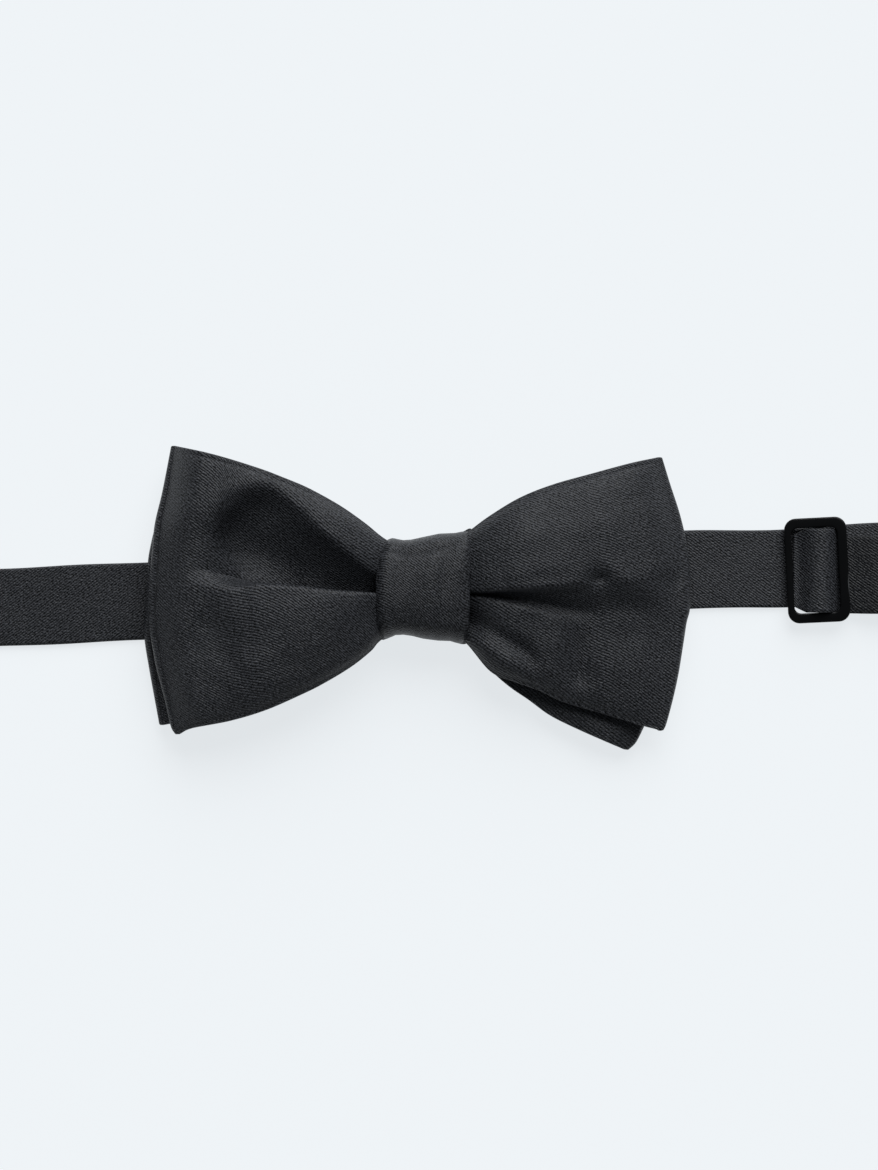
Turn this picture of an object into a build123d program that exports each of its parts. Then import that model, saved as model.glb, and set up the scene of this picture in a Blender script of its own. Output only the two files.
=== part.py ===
from build123d import *
import math
import os

# Pre-tied satin bow tie on an adjustable neckband, lying flat on its back.
# Frame: +X runs along the neckband towards the adjuster, +Y is up the wearer's shirt,
# +Z is out of the front of the bow. The origin is the middle of the knot's back face.
# All dimensions in millimetres.

# ------------------------------------------------------------------ driving dimensions
BAND_W = 17.4          # neckband width
BAND_T = 1.2           # neckband thickness, folded satin
BAND_Z = 0.05          # underside of the band where it lies flat
HINGE_GAP = 1.1        # clearance at each bend line of the band
KNOT_L = 20.6          # knot length along X
KNOT_W = 23.4          # knot height along Y
KNOT_H = 15.0          # knot thickness along Z
KNOT_COVER_T = 0.5     # satin of the knot
KNOT_LINING_T = 0.35   # interlining of the knot
COVER_T = 0.6          # satin of the bows
# centre line of the neckband in plan: x, y
BAND_LINE = [(-200.0, -8.2), (-93.0, -4.5), (-28.0, -1.6), (0.0, 0.0), (28.0, 2.6), (58.0, 3.85),
             (80.0, 4.1), (87.0, 4.6), (93.0, 5.3), (100.0, 5.8), (135.0, 6.2), (260.0, 6.2)]
L_BENDS = (-28.0, -66.0, -105.0, -138.0)
R_BENDS = (28.0, 66.0)
EYE_X = -172.0         # strap bar of the eye
HOOK_X = 187.0         # strap bar of the hook
BAR_R = 0.75           # wire radius of hook and eye
BAR_Z = 1.95           # height of the strap bars
SLIDER_X = 86.6        # middle of the adjuster slider
SLIDER_Y = 3.73
SLIDER_W = 13.7
SLIDER_L = 23.2
SLIDER_T = 1.6
SLIDER_LEAN = 2.8      # rotation in plan, degrees
SLIDER_TILT = 5.6      # right side raised, degrees

os.makedirs("parts", exist_ok=True)


def save(shape, name):
    export_step(shape, os.path.join("parts", name + ".step"))
    print(name, round(shape.volume, 2), "mm3", len(shape.solids()), "solid(s)")


def yc(x):
    """Centre line of the neckband in plan."""
    pts = BAND_LINE
    for (x0, y0), (x1, y1) in zip(pts, pts[1:]):
        if x <= x1:
            return y0 + (y1 - y0) * (x - x0) / (x1 - x0)
    return pts[-1][1]


def section(x, y0, y1, z0, z1):
    p = Plane(origin=(x, (y0 + y1) / 2, (z0 + z1) / 2), x_dir=(0, 1, 0), z_dir=(1, 0, 0))
    return p * Rectangle(y1 - y0, z1 - z0)


def section_loft(stations):
    return loft([section(*s) for s in stations], ruled=True)


def strip_loft(xs, zs, width=BAND_W, thick=BAND_T, centre=yc):
    """A flat strip through stations xs with undersides zs."""
    return section_loft(
        [(x, centre(x) - width / 2, centre(x) + width / 2, z, z + thick) for x, z in zip(xs, zs)]
    )


def path_strip(points, thick, y_mid, width):
    """A strip of cloth whose middle surface follows points (x, z), extruded along Y."""
    n = len(points)
    left, right = [], []
    for i, (x, z) in enumerate(points):
        a = points[max(i - 1, 0)]
        b = points[min(i + 1, n - 1)]
        dx, dz = b[0] - a[0], b[1] - a[1]
        k = math.hypot(dx, dz)
        nx, nz = -dz / k * thick / 2, dx / k * thick / 2
        left.append((x + nx, z + nz))
        right.append((x - nx, z - nz))
    outline = left + right[::-1]
    wire = Polyline(*[(x, y_mid - width / 2, z) for x, z in outline], close=True)
    return extrude(make_face(wire), amount=width, dir=(0, 1, 0))


def arc_points(cx, cz, r, a0, a1, n):
    return [
        (cx + r * math.cos(math.radians(a0 + (a1 - a0) * i / n)),
         cz + r * math.sin(math.radians(a0 + (a1 - a0) * i / n)))
        for i in range(n + 1)
    ]


# ------------------------------------------------------------------ the two bows
# Stations: x, y low, y high. The height range at a station depends on its distance from the knot.
FRONT = [
    (-60.4, -9.0, 7.0), (-58.6, -19.0, 17.5), (-55.6, -31.6, 31.2), (-45.7, -30.0, 29.0),
    (-36.1, -27.0, 26.1), (-27.0, -23.0, 22.4), (-20.0, -19.4, 19.0), (-14.3, -14.9, 15.0),
    (-10.5, -8.0, 8.0), (10.5, -8.0, 8.0), (14.3, -15.5, 15.2), (20.0, -20.2, 19.0),
    (27.0, -23.2, 22.0), (36.0, -26.6, 24.8), (46.0, -29.6, 27.6), (52.4, -31.2, 28.8),
    (55.6, -18.0, 17.0), (58.0, -8.0, 5.0),
]
REAR = [
    (-61.6, -12.0, 3.0), (-60.6, -18.0, 12.0), (-58.3, -30.2, 20.0), (-55.8, -29.8, 28.0),
    (-45.7, -28.0, 26.5), (-36.1, -25.6, 24.0), (-27.0, -22.4, 20.6), (-20.0, -18.6, 17.6),
    (-14.3, -14.0, 13.6), (-10.5, -8.2, 8.2), (10.5, -8.2, 8.2), (14.3, -16.4, 13.6),
    (20.0, -21.8, 17.4), (27.0, -26.6, 20.0), (36.0, -31.6, 22.6), (45.4, -35.4, 24.6),
    (49.4, -28.0, 24.0), (54.6, -14.0, 10.0),
]
# profiles against distance from the knot: underside, ridge height and depth of the crevice
FRONT_LOW = [(0, 7.6), (10.5, 7.6), (27, 6.9), (46, 6.2), (64, 5.8)]
FRONT_HIGH = [(0, 12.4), (10.5, 12.4), (14.3, 14.4), (27, 15.6), (46, 13.6), (55, 11.4), (64, 9.8)]
FRONT_VALLEY = [(0, 0.3), (10.5, 0.5), (14.3, 3.8), (27, 4.2), (38, 2.2), (46, 0.8), (64, 0.2)]
REAR_LOW = [(0, 2.65), (10.5, 2.65), (27, 2.1), (46, 2.0), (64, 2.0)]
REAR_HIGH = [(0, 7.35), (10.5, 7.35), (27, 6.65), (46, 5.95), (64, 5.55)]
REAR_VALLEY = [(0, 0.2), (10.5, 0.2), (27, 0.6), (46, 0.3), (64, 0.1)]
EDGE_T = 2.3           # thickness of a bow at its folded edges


def ramp(x, table):
    a = abs(x)
    for (x0, v0), (x1, v1) in zip(table, table[1:]):
        if a <= x1:
            return v0 + (v1 - v0) * (a - x0) / (x1 - x0)
    return table[-1][1]


def bow_section(x, y0, y1, z0, z1, valley, t):
    """Puffed ribbon section in the YZ plane at x, drawn in by t on every side."""
    w = y1 - y0
    c = (y0 + y1) / 2
    top = z0 + EDGE_T
    ey = 1.5 * t
    pts = [
        (y0 + 1.0 + ey, z0 + t), (y1 - 1.0 - ey, z0 + t), (y1 - ey, z0 + 0.8 + 0.9 * t),
        (y1 - ey, top - 0.5 * t), (y1 - 0.24 * w, z1 - 1.25 * t), (c + 0.07 * w, z1 - 0.25 * valley - 1.25 * t),
        (c, z1 - valley - 1.35 * t), (c - 0.07 * w, z1 - 0.25 * valley - 1.25 * t),
        (y0 + 0.24 * w, z1 - 1.25 * t), (y0 + ey, top - 0.5 * t), (y0 + ey, z0 + 0.8 + 0.9 * t),
    ]
    return make_face(Polyline(*[(x, y, z) for y, z in pts], close=True))


def bow(table, low, high, valley, t):
    faces = []
    n = len(table)
    for i, (x, y0, y1) in enumerate(table):
        xi = x + t * 1.6 if i == 0 else x - t * 1.6 if i == n - 1 else x
        faces.append(bow_section(xi, y0, y1, ramp(x, low), ramp(x, high), ramp(x, valley), t))
    return loft(faces, ruled=True)


front_args = (FRONT, FRONT_LOW, FRONT_HIGH, FRONT_VALLEY)
rear_args = (REAR, REAR_LOW, REAR_HIGH, REAR_VALLEY)
save(bow(*front_args, 0.0) - bow(*front_args, COVER_T), "front_bow_cover")
save(bow(*front_args, COVER_T + 0.12), "front_bow_interlining")
save(bow(*rear_args, 0.0) - bow(*rear_args, COVER_T), "rear_bow_cover")
save(bow(*rear_args, COVER_T + 0.12), "rear_bow_interlining")


# ------------------------------------------------------------------ knot
def knot_section(x, grow, top_r, low_r):
    """Rounded section of the knot in the YZ plane at x, grown by grow."""
    p = Plane(origin=(x, 0, KNOT_H / 2), x_dir=(0, 1, 0), z_dir=(1, 0, 0))
    r = Rectangle(KNOT_W + 2 * grow, KNOT_H + 2 * grow)
    top = r.vertices().sort_by(Axis.Y)[-2:]
    r = fillet(top, top_r)
    low = r.vertices().sort_by(Axis.Y)[:2]
    r = fillet(low, low_r)
    return p * r


def knot_tube(outer, inner, r_top, r_low):
    a = extrude(knot_section(-KNOT_L / 2, -outer, r_top - outer, r_low - outer), amount=KNOT_L, dir=(1, 0, 0))
    b = extrude(knot_section(-KNOT_L / 2 - 1, -inner, r_top - inner, max(r_low - inner, 0.25)), amount=KNOT_L + 2, dir=(1, 0, 0))
    return a - b


# slanted hand stitches that close the knot strip along a seam on its back, let into the cloth
SEAM_Y = -3.2
stitch_x = [-7.5 + i * 3.0 for i in range(6)]
knot_cover = knot_tube(0.0, KNOT_COVER_T, 5.4, 1.6)
for x in stitch_x:
    knot_cover = knot_cover - Pos(x, SEAM_Y, 0.09) * Rot(0, 0, 62) * Box(2.4, 0.5, 0.26)
knot_cover = knot_cover - Pos(0, SEAM_Y - 0.1, 0.0) * Box(KNOT_L + 1, 0.16, 0.3)
save(knot_cover, "knot_cover")
save(Compound([Pos(x, SEAM_Y, 0.11) * Rot(0, 0, 62) * Box(2.3, 0.4, 0.18) for x in stitch_x]), "knot_closing_stitches")
save(knot_tube(KNOT_COVER_T + 0.03, KNOT_COVER_T + 0.03 + KNOT_LINING_T, 5.4, 1.6), "knot_interlining")

# thread wound round the two pinched waists
def ring_section(x, y, z0, z1, r_top, r_low):
    p = Plane(origin=(x, 0, (z0 + z1) / 2), x_dir=(0, 1, 0), z_dir=(1, 0, 0))
    r = Rectangle(2 * y, z1 - z0)
    r = fillet(r.vertices().sort_by(Axis.Y)[-2:], r_top)
    r = fillet(r.vertices().sort_by(Axis.Y)[:2], r_low)
    return p * r


turns = []
for i in range(4):
    x0 = -1.5 + i * 0.8
    o = extrude(ring_section(x0, 8.8, 2.26, 13.0, 4.3, 0.6), amount=0.6, dir=(1, 0, 0))
    c = extrude(ring_section(x0 - 0.1, 8.4, 2.6, 12.62, 3.95, 0.2), amount=0.8, dir=(1, 0, 0))
    turns.append(o - c)
save(Compound(turns), "waist_binding_thread")

# ------------------------------------------------------------------ neckband
h = HINGE_GAP / 2
CZ = 1.22
centre_x = [L_BENDS[0] + h, -24.0, -17.0, -11.0, 11.0, 17.0, 24.0, R_BENDS[0] - h]
centre_z = [BAND_Z, BAND_Z, 0.55, CZ, CZ, 0.55, BAND_Z, BAND_Z]
save(strip_loft(centre_x, centre_z, thick=1.0), "neckband_center")


def flat(x0, x1, name, centre=yc, z=BAND_Z, thick=BAND_T, knots=BAND_LINE):
    xs = [x0] + [p[0] for p in knots if x0 + 0.5 < p[0] < x1 - 0.5] + [x1]
    save(strip_loft(xs, [z] * len(xs), thick=thick, centre=centre), name)


flat(L_BENDS[1] + h, L_BENDS[0] - h, "left_band_inner")
flat(L_BENDS[2] + h, L_BENDS[1] - h, "left_band_mid")
flat(L_BENDS[3] + h, L_BENDS[2] - h, "left_band_outer")

# left tip: folds round the eye's strap bar and comes back over itself
T = 1.0
fold_r = 0.95 + T / 2


def fold_path(xb, side, x_low, x_high, z_high):
    """Cloth from (x_low, floor level) round the bar at xb and back to x_high on top. side is -1 or 1."""
    low = BAND_Z + T / 2
    pts = [(x_low, low), (xb - side * 4.5, low)]
    for a, b in ((-3.2, 0.02), (-1.9, 0.08)):
        pts.append((xb + side * a, low + b))
    ring = arc_points(0, 0, fold_r, -104, 104, 26)
    pts += [(xb + side * x, BAR_Z + z) for x, z in ring]
    pts += [(xb - side * 2.4, BAR_Z + 0.86), (xb - side * 4.6, z_high + 0.25), (xb - side * 6.6, z_high), (x_high, z_high)]
    return pts


# the fold's middle line has to start at the floor level, so the bar sits fold_r above it
tip_pts = fold_path(EYE_X, -1, L_BENDS[3] - h, EYE_X + 14.0, BAND_Z + T + 0.12 + T / 2)
tip = path_strip(tip_pts, T, yc(EYE_X + 8), BAND_W)
save(tip, "left_band_tip")

tacks = []
for i in range(6):
    tacks.append(Pos(EYE_X + 11.0, yc(EYE_X + 8) - 7.5 + i * 3.0, BAND_Z + 2 * T + 0.12 + 0.13) * Box(0.9, 2.2, 0.22))
save(Compound(tacks), "eye_fold_stitches")

# right side
flat(R_BENDS[0] + h, R_BENDS[1] - h, "right_band_inner")
RUN_END = 150.0
FEED_END = HOOK_X - 10.0
flat(R_BENDS[1] + h, RUN_END, "right_band_outer")
flat(RUN_END + 0.05, FEED_END - 0.05, "right_band_lower_end")

# fold of the strap round the hook's bar
HOOK_Y = yc(HOOK_X - 5)
fold_pts = fold_path(HOOK_X, 1, FEED_END, FEED_END, BAND_Z + BAND_T + 0.1 + T / 2)
save(path_strip(fold_pts, T, HOOK_Y, BAND_W), "hook_strap_fold")


def upper_y(x):
    t = max(0.0, min(1.0, (x - 96.0) / (FEED_END - 20 - 96.0)))
    return 2.75 + (HOOK_Y - 2.75) * t


UPPER_START = 91.5
Z_UP = BAND_Z + BAND_T + 0.1
flat(UPPER_START, FEED_END - 0.05, "right_band_upper_layer", centre=upper_y, z=Z_UP,
     knots=[(96.0, 0), (FEED_END - 20, 0)])

# ------------------------------------------------------------------ adjuster slider
SL = Pos(SLIDER_X, SLIDER_Y, 0) * Rot(0, 0, SLIDER_LEAN) * Pos(0, 0, 2.13 + SLIDER_T / 2) * Rot(0, -SLIDER_TILT, 0)
WIN_W, WIN_L = 10.1, 18.8
frame2d = RectangleRounded(SLIDER_W, SLIDER_L, 2.6) - Pos(-0.3, 0.0) * RectangleRounded(WIN_W, WIN_L, 1.5)
frame = extrude(frame2d, amount=SLIDER_T / 2, both=True)
frame = fillet(frame.faces().sort_by(Axis.Z)[-1].edges(), 0.35)
BAR_W, BAR_T2, BAR_L = 2.0, 1.0, 20.8
bar_at = Pos(0.9, 0, -SLIDER_T / 2 + BAR_T2 / 2)
notch = bar_at * Box(BAR_W + 0.06, BAR_L + 0.06, BAR_T2 + 0.03)
frame = frame - notch
crossbar = bar_at * Box(BAR_W, BAR_L, BAR_T2)
crossbar = fillet(crossbar.edges().filter_by(Axis.Y), 0.35)
save(SL * frame, "slider_frame")
save(SL * crossbar, "slider_crossbar")

# crossbar centre in the row frame
bx = SLIDER_X + 0.9 * math.cos(math.radians(SLIDER_TILT))
bz = 2.13 + SLIDER_T / 2 + 0.9 * math.sin(math.radians(SLIDER_TILT)) - SLIDER_T / 2 + BAR_T2 / 2
by = SLIDER_Y
# sewn end of the strap: a closed sleeve of cloth round the crossbar
def oval_ring(cx, cz, rx, rz, t, y_mid, width):
    p = Plane(origin=(cx, y_mid, cz), x_dir=(1, 0, 0), z_dir=(0, -1, 0))
    ring = Ellipse(rx + t / 2, rz + t / 2) - Ellipse(rx - t / 2, rz - t / 2)
    return extrude(p * ring, amount=width / 2, both=True)


save(oval_ring(bx, bz, 1.7, 1.08, 0.4, by, WIN_L - 2.6), "strap_end_loop")

# the length of strap that rises over the crossbar
hp = [(81.7, BAND_Z + BAND_T + 0.40), (82.5, 1.80), (83.5, 2.45), (84.5, 3.35), (85.7, 4.25), (87.1, 4.75), (88.5, 4.62),
      (89.35, 3.80), (89.95, 2.72), (90.75, 2.02)]
save(path_strip(hp, 0.7, by, WIN_L - 1.0), "strap_over_crossbar")

# ------------------------------------------------------------------ hook and eye
def bar_loop(xb, side, reach, y_mid, half):
    """Rectangular stamped loop: a strap bar at xb and an outer bar, joined by side arms."""
    d = 2 * BAR_R
    outer = RectangleRounded(reach + d, 2 * half + d, 1.6)
    inner = RectangleRounded(reach - d, 2 * half - d, 0.5)
    loop = extrude(outer - inner, amount=BAR_R, both=True)
    loop = fillet(loop.faces().sort_by(Axis.Z)[-1].edges(), 0.45)
    loop = fillet(loop.faces().sort_by(Axis.Z)[0].edges(), 0.45)
    return Pos(xb + side * reach / 2, y_mid, BAR_Z) * loop


EYE_Y = yc(EYE_X + 8)
eye = bar_loop(EYE_X, -1, 9.0, EYE_Y, 9.9)
save(eye, "eye_loop")

HOOK_REACH = 5.2
hook = bar_loop(HOOK_X, 1, HOOK_REACH, HOOK_Y, 9.9)
tx = HOOK_X + HOOK_REACH
tongue_pts = [(tx - 0.1, BAR_Z), (tx + 3.0, BAR_Z), (tx + 6.2, BAR_Z)]
tongue_pts += arc_points(tx + 6.2, BAR_Z + 1.75, 1.75, -75, 90, 14)
tongue_pts += [(tx + 4.4, BAR_Z + 3.4), (tx + 2.6, BAR_Z + 3.15), (tx + 1.6, BAR_Z + 3.5)]
tongue = path_strip(tongue_pts, 0.9, HOOK_Y, 7.0)
save(hook + tongue, "hook")
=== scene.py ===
import bpy
import math
import random
import numpy as np
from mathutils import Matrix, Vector, noise


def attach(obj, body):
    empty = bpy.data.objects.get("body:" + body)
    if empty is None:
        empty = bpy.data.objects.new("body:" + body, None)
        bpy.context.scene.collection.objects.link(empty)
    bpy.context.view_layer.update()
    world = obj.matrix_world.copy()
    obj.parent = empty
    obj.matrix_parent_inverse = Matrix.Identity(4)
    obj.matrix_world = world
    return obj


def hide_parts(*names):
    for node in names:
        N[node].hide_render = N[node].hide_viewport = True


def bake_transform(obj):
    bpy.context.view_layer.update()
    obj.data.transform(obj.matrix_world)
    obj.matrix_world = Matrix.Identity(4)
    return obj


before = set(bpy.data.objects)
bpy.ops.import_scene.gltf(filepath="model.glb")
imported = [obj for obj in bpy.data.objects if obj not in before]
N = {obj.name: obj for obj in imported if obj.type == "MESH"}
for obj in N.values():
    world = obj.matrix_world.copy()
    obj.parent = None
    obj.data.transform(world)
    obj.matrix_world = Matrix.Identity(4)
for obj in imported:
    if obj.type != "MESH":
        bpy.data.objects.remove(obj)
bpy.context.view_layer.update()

MM = 0.001
rng = random.Random(7)

# ---------------------------------------------------------------- mesh helpers


def mesh_object(name, verts, faces, uvs, mat, smooth=True):
    me = bpy.data.meshes.new(name)
    me.from_pydata([tuple(v) for v in (verts * MM)], [], faces)
    me.validate()
    layer = me.uv_layers.new(name="cloth_mm")
    loops = np.empty(len(me.loops), dtype=np.int32)
    me.loops.foreach_get("vertex_index", loops)
    layer.data.foreach_set("uv", uvs[loops].astype(np.float32).ravel())
    me.polygons.foreach_set("use_smooth", [smooth] * len(me.polygons))
    me.update()
    ob = bpy.data.objects.new(name, me)
    bpy.context.scene.collection.objects.link(ob)
    me.materials.append(mat)
    return ob


def unit(a):
    return a / np.maximum(np.linalg.norm(a, axis=-1, keepdims=True), 1e-9)


def inward(P, W, depth, closed, trim=2):
    """The same cloth path, moved in by depth and a little narrower."""
    if closed:
        du = np.roll(P, -1, 0) - np.roll(P, 1, 0)
    else:
        du = np.gradient(P, axis=0)
    nrm = unit(np.cross(du, np.gradient(P, axis=1)))
    return (P - nrm * depth)[:, trim:-trim], W[:, trim:-trim]


def shell(name, P, W, s, t, mat, closed, groove=0.30, cap=True):
    """A cloth of thickness t on the grid P[i, j]; W[i, j] is the cloth's own cross coordinate and s[i] its length coordinate."""
    n, m = P.shape[:2]
    if closed:
        du = np.roll(P, -1, 0) - np.roll(P, 1, 0)
    else:
        du = np.gradient(P, axis=0)
    dv = np.gradient(P, axis=1)
    nrm = unit(np.cross(du, dv))
    th = np.full((n, m, 1), t) if np.isscalar(t) else np.asarray(t)[..., None]
    cols, uvc = [], []
    for j in range(m):
        cols.append(P[:, j] + nrm[:, j] * th[:, j] / 2)
        uvc.append(np.stack([s, W[:, j]], -1))
    phis = [22, 45, 68, 82, 90, 98, 112, 135, 158]
    e = unit(P[:, -1] - P[:, -3])
    for ph in phis:
        r = th[:, -1] / 2 * (1 - groove * math.exp(-((ph - 90) / 13.0) ** 2))
        c = math.cos(math.radians(ph)) * (1.0 if abs(ph - 90) > 1 else 1)
        cols.append(P[:, -1] + e * (math.sin(math.radians(ph)) * r) + nrm[:, -1] * c * th[:, -1] / 2)
        uvc.append(np.stack([s, W[:, -1] + 0.01 * ph * t if np.isscalar(t) else W[:, -1] + 0.01 * ph], -1))
    for j in range(m - 1, -1, -1):
        cols.append(P[:, j] - nrm[:, j] * th[:, j] / 2)
        uvc.append(np.stack([s, -W[:, j] + 2 * W[:, -1] + 2.0], -1))
    e = unit(P[:, 0] - P[:, 2])
    for ph in reversed(phis):
        r = th[:, 0] / 2 * (1 - groove * math.exp(-((ph - 90) / 13.0) ** 2))
        c = math.cos(math.radians(ph))
        cols.append(P[:, 0] + e * (math.sin(math.radians(ph)) * r) + nrm[:, 0] * c * th[:, 0] / 2)
        uvc.append(np.stack([s, W[:, 0] - 0.01 * ph], -1))
    R = np.stack(cols, 1)
    U = np.stack(uvc, 1)
    M = R.shape[1]
    # faces wrap round from the last rim column back to the first across the seam
    idx = np.arange(n * M).reshape(n, M)
    faces = []
    rows = n if closed else n - 1
    for i in range(rows):
        i2 = (i + 1) % n
        a, b = idx[i], idx[i2]
        for j in range(M):
            j2 = (j + 1) % M
            faces.append((int(a[j]), int(b[j]), int(b[j2]), int(a[j2])))
    verts = R.reshape(-1, 3)
    uvs = U.reshape(-1, 2)
    if not closed and cap:
        # quads between the outer and inner columns close each end
        nr = len(phis)
        for row, flip in ((0, False), (n - 1, True)):
            def vid(k):
                return int(idx[row, k])
            outer = list(range(m))
            inner = [m + nr + (m - 1 - j) for j in range(m)]
            for j in range(m - 1):
                q = (vid(outer[j]), vid(outer[j + 1]), vid(inner[j + 1]), vid(inner[j]))
                faces.append(q[::-1] if flip else q)
            endfan = [vid(m - 1)] + [vid(m + k) for k in range(nr)] + [vid(inner[m - 1])]
            faces.append(tuple(endfan[::-1] if flip else endfan))
            startfan = [vid(inner[0])] + [vid(2 * m + nr + k) for k in range(nr)] + [vid(0)]
            faces.append(tuple(startfan[::-1] if flip else startfan))
    return mesh_object(name, verts, faces, uvs, mat)


def resample(pts, count, smooth=True):
    """Points at equal steps along a polyline, rounded as a Catmull-Rom curve."""
    p = np.array(pts, dtype=float)
    if smooth and len(p) > 2:
        q = []
        ext = np.vstack([2 * p[0] - p[1], p, 2 * p[-1] - p[-2]])
        for i in range(1, len(ext) - 2):
            for k in range(12):
                u = k / 12
                a, b, c, d = ext[i - 1], ext[i], ext[i + 1], ext[i + 2]
                q.append(0.5 * (2 * b + (c - a) * u + (2 * a - 5 * b + 4 * c - d) * u * u + (3 * b - a - 3 * c + d) * u ** 3))
        q.append(p[-1])
        p = np.array(q)
    d = np.concatenate([[0], np.cumsum(np.linalg.norm(np.diff(p, axis=0), axis=1))])
    t = np.linspace(0, d[-1], count)
    return np.stack([np.interp(t, d, p[:, k]) for k in range(p.shape[1])], 1)


def coons(B, T, K, E):
    """Plan positions inside four border curves: bottom, top, knot side, tip side."""
    n, m = len(B), len(K)
    u = np.linspace(0, 1, n)[:, None, None]
    v = np.linspace(0, 1, m)[None, :, None]
    return ((1 - v) * B[:, None] + v * T[:, None] + (1 - u) * K[None] + u * E[None]
            - ((1 - u) * (1 - v) * B[0] + (1 - u) * v * T[0] + u * (1 - v) * B[-1] + u * v * T[-1]))


def feature(X, Y, pts, amps, low, high, power=2.0):
    """Height added along a line in plan. low and high are its widths on the -Y and +Y sides."""
    pts = np.array(pts, float)
    if len(pts) > 2:
        seg = np.concatenate([[0], np.cumsum(np.linalg.norm(np.diff(pts, axis=0), axis=1))])
        fine = resample(pts, 40)
        fd = np.linspace(0, seg[-1], 40)
        amps = np.interp(fd, seg, np.broadcast_to(amps, len(pts)))
        low = np.interp(fd, seg, np.broadcast_to(low, len(pts)))
        high = np.interp(fd, seg, np.broadcast_to(high, len(pts)))
        pts = fine
    else:
        amps, low, high = (np.broadcast_to(np.asarray(a, float), 2) for a in (amps, low, high))
    best = np.full(X.shape, 1e9)
    amp = np.zeros(X.shape)
    wl = np.ones(X.shape)
    wh = np.ones(X.shape)
    side = np.zeros(X.shape)
    for i in range(len(pts) - 1):
        a, b = pts[i], pts[i + 1]
        ab = b - a
        L2 = float(ab @ ab) + 1e-12
        t = np.clip(((X - a[0]) * ab[0] + (Y - a[1]) * ab[1]) / L2, 0, 1)
        dx, dy = X - a[0] - t * ab[0], Y - a[1] - t * ab[1]
        d = np.hypot(dx, dy)
        k = d < best
        best[k] = d[k]
        amp[k] = (amps[i] + (amps[i + 1] - amps[i]) * t)[k]
        wl[k] = (low[i] + (low[i + 1] - low[i]) * t)[k]
        wh[k] = (high[i] + (high[i + 1] - high[i]) * t)[k]
        side[k] = dy[k]
    w = np.where(side > 0, wh, wl)
    return amp * np.exp(-(best / w) ** power)


def table(pairs, x, smooth=True):
    """Values (x, value) read at x, with the corners of the table rounded."""
    t = sorted(pairs)
    if not smooth:
        return np.interp(x, [p[0] for p in t], [p[1] for p in t])
    xs_ = np.linspace(t[0][0], t[-1][0], 160)
    ys_ = np.interp(xs_, [p[0] for p in t], [p[1] for p in t])
    k = np.exp(-np.linspace(-2, 2, 13) ** 2)
    k /= k.sum()
    pad = np.concatenate([np.full(6, ys_[0]), ys_, np.full(6, ys_[-1])])
    return np.interp(x, xs_, np.convolve(pad, k, "valid"))


def profile(pairs, x):
    """A table (x, value) read at x as one smooth curve, with no corner left in it."""
    a, b = pairs
    g = np.linspace(0, 1, 201)
    y = np.interp(g, a, b)
    k = np.exp(-np.linspace(-2.2, 2.2, 61) ** 2)
    k /= k.sum()
    lead = y[0] - (y[1] - y[0]) * np.arange(30, 0, -1)
    tail = y[-1] + (y[-1] - y[-2]) * np.arange(1, 31)
    return np.interp(x, g, np.convolve(np.concatenate([lead, y, tail]), k, "valid"))


def soften(Z, rows, along, across):
    """Heights softened along a lobe and across it, separately on each side of its crease row."""
    def blur(A, sigma, axis):
        r = int(3 * sigma) + 1
        k = np.exp(-0.5 * (np.arange(-r, r + 1) / sigma) ** 2)
        k /= k.sum()
        pad = [(0, 0), (0, 0)]
        pad[axis] = (r, r)
        B = np.pad(A, pad, mode="edge")
        return np.apply_along_axis(lambda c: np.convolve(c, k, "valid"), axis, B)
    Z = blur(Z, along, 0)
    out = Z.copy()
    out[:, rows:] = blur(Z[:, rows:], across, 1)
    out[:, :rows] = blur(Z[:, :rows], across, 1)
    return out


def ease(t):
    t = np.clip(t, 0, 1)
    return t * t * (3 - 2 * t)


def pocket(X, Y, lip, ridge, depth, wall, power=1.35):
    """A fold that falls from a ridge line to a crevice, with a steep wall below the crevice."""
    yl, yr, D, wl = table(lip, X), table(ridge, X), table(depth, X), table(wall, X)
    t = np.clip((Y - yl) / np.maximum(yr - yl, 0.5), 0, 1)
    return -D * np.where(Y > yl, 1 - t ** power, 1 - ease((yl - Y) / wl))


def step(X, Y, line, height, width):
    """Everything below a line lowered by a height, over a width."""
    return -table(height, X) * ease((table(line, X) - Y) / table(width, X))


def hollow(X, Y, wall_x, depth, wall, reach):
    """A hollow that falls off a wall on its -X side and rises slowly away from it. Tables are (y, value)."""
    d = X - table(wall_x, Y)
    w = table(wall, Y)
    return -0.62 * table(depth, Y) * ease(d / w) * np.exp(-(np.maximum(d - w, 0) / reach) ** 2)


def lap(X, Y, line, amount, wall, tail):
    """How far the cloth just below a crevice is pulled up over it."""
    yl, A, wl = table(line, X), table(amount, X), table(wall, X)
    below = yl - Y
    return np.where(below <= 0, 0.0, np.where(below < wl, A * ease(below / wl), A * np.exp(-((below - wl) / tail) ** 2)))


def lumps(X, Y, scale, seed):
    out = np.zeros(X.shape)
    fx, fy = X.ravel(), Y.ravel()
    vals = [noise.noise(Vector((a / scale + seed, b / scale - seed, seed * 0.37))) for a, b in zip(fx, fy)]
    out[:] = np.array(vals).reshape(X.shape)
    return out


# ---------------------------------------------------------------- materials


def nodes_of(name):
    m = bpy.data.materials.new(name)
    m.use_nodes = True
    nt = m.node_tree
    b = nt.nodes["Principled BSDF"]
    return m, nt, b


def setp(b, **k):
    for key, v in k.items():
        b.inputs[key.replace("_", " ")].default_value = v


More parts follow.
